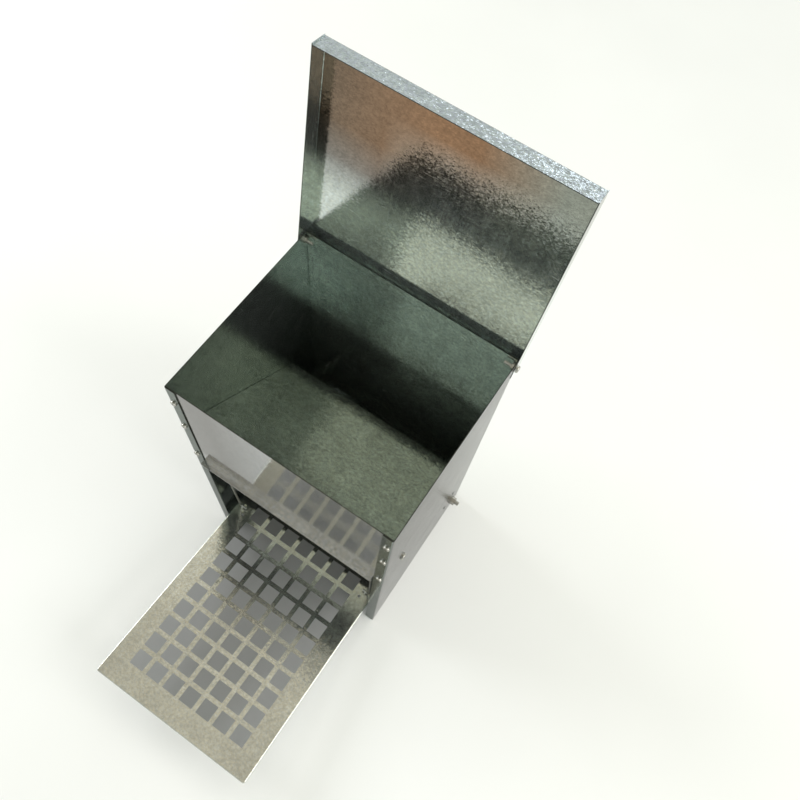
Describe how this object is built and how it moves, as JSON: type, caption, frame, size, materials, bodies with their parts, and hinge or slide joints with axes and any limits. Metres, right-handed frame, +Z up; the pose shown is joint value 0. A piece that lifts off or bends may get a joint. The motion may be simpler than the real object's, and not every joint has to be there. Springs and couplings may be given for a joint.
{
  "type": "treadle poultry feeder",
  "caption": "Folded sheet-steel feed hopper with a hinged lid, a covered trough, and a perforated treadle whose link rods swing the trough's flap open.",
  "frame": {"origin": "on the floor, in the middle of the whole footprint with the lid open and the treadle up", "axes": "-Y is the front, where the bird stands; +X is to the right seen from the front; +Z is up"},
  "size_m": [0.2844, 0.5177, 0.6561],
  "materials": {
    "galvanised_sheet": "hot-dip galvanised, spangled, semi-bright",
    "zinc_fasteners": "bright zinc plated",
    "aluminium_rivets": "plain aluminium",
    "steel_wire": "bright drawn wire, zinc plated"
  },
  "bodies": {
    "housing": {"left_side_panel": "galvanised_sheet", "right_side_panel": "galvanised_sheet", "front_panel": "galvanised_sheet", "back_panel": "galvanised_sheet", "slope_panel": "galvanised_sheet", "feed_trough": "galvanised_sheet", "lid_hinge_bolts": "zinc_fasteners", "lid_hinge_washers": "zinc_fasteners", "lid_hinge_nuts": "zinc_fasteners", "front_panel_screws": "zinc_fasteners", "front_panel_nuts": "zinc_fasteners", "back_panel_welds": "galvanised_sheet", "slope_panel_welds": "galvanised_sheet", "trough_rivets": "aluminium_rivets", "treadle_pivot_rod": "zinc_fasteners", "treadle_pivot_nuts": "zinc_fasteners", "treadle_pivot_washers": "zinc_fasteners", "treadle_pivot_spacers": "zinc_fasteners", "flap_pivot_screws": "zinc_fasteners", "flap_pivot_spacers": "zinc_fasteners", "flap_pivot_nuts": "zinc_fasteners", "spring_anchor_pins": "steel_wire", "return_spring_left": "steel_wire", "return_spring_right": "steel_wire"},
    "lid": {"lid": "galvanised_sheet"},
    "treadle": {"treadle_plate": "galvanised_sheet", "treadle_ears": "galvanised_sheet", "link_lugs": "galvanised_sheet"},
    "flap": {"feed_flap": "galvanised_sheet", "flap_spring_pins": "steel_wire"},
    "links": {"link_rod_left": "steel_wire", "link_rod_right": "steel_wire"}
  },
  "joints": [
    {"name": "lid_hinge", "type": "hinge", "parent": "housing", "child": "lid", "pos_m": [0, 0.21212, 0.429], "axis": [1, 0, 0], "range_deg": [0, 99]},
    {"name": "treadle_pivot", "type": "hinge", "parent": "housing", "child": "treadle", "pos_m": [0, 0.19332, 0.036], "axis": [1, 0, 0], "range_deg": [0, 7.5], "stiffness_Nm_per_rad": 6, "springref_deg": -18.33},
    {"name": "flap_pivot", "type": "hinge", "parent": "housing", "child": "flap", "pos_m": [0, 0.03682, 0.237], "axis": [1, 0, 0], "range_deg": [0, 45], "deforming": ["return_spring_left", "return_spring_right"]},
    {"name": "link_pivot", "type": "hinge", "parent": "treadle", "child": "links", "pos_m": [0, 0.01282, 0.04839], "axis": [1, 0, 0], "range_deg": [-7.5, 0]}
  ],
  "couplings": [
    {"joint": "flap_pivot", "follows": "treadle_pivot", "ratio": 6},
    {"joint": "link_pivot", "follows": "treadle_pivot", "ratio": -1}
  ]
}
